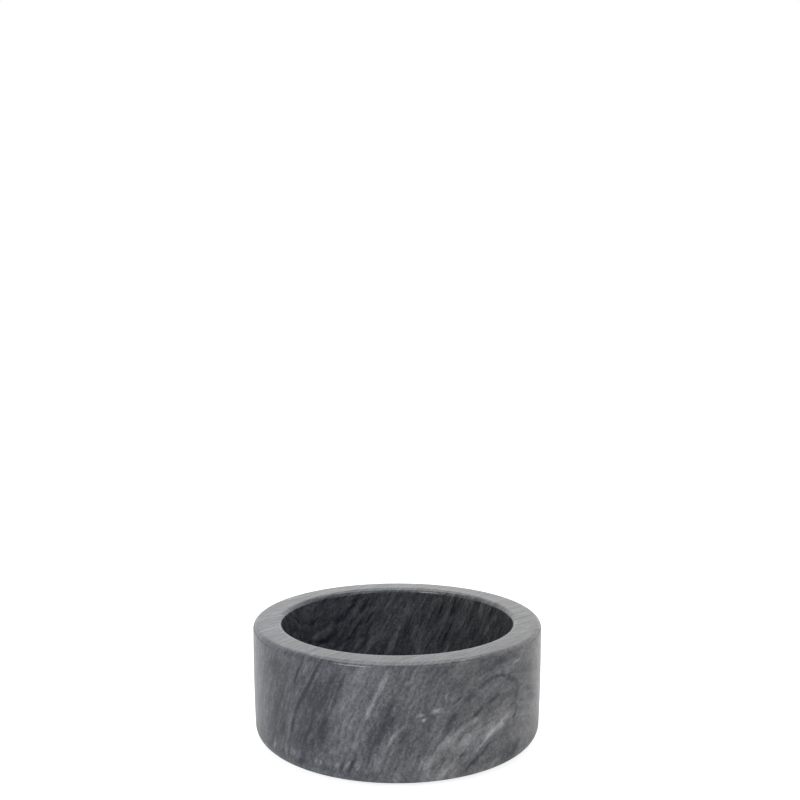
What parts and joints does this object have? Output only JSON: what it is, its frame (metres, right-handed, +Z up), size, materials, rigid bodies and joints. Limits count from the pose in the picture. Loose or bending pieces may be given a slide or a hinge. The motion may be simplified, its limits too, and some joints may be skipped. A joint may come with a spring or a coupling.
{
  "type": "wine bottle coaster",
  "caption": "Round grey marble coaster with a deep flat-floored well that a wine bottle stands in, on small rubber pads.",
  "frame": {"origin": "on the table, under the middle of the coaster, in the plane of the pads' lower faces", "axes": "+Z up along the axis of the well; +X and +Y lie between the pads, which stand at 45 degrees to them"},
  "size_m": [0.127, 0.127, 0.0508],
  "materials": {
    "marble": "honed grey marble",
    "rubber": "matt sheet rubber",
    "adhesive": "clear acrylic film"
  },
  "bodies": {
    "root": {"stone_body": "marble", "foot_pad_1": "rubber", "foot_pad_2": "rubber", "foot_pad_3": "rubber", "foot_pad_4": "rubber", "adhesive_film_1": "adhesive", "adhesive_film_2": "adhesive", "adhesive_film_3": "adhesive", "adhesive_film_4": "adhesive"}
  },
  "joints": []
}
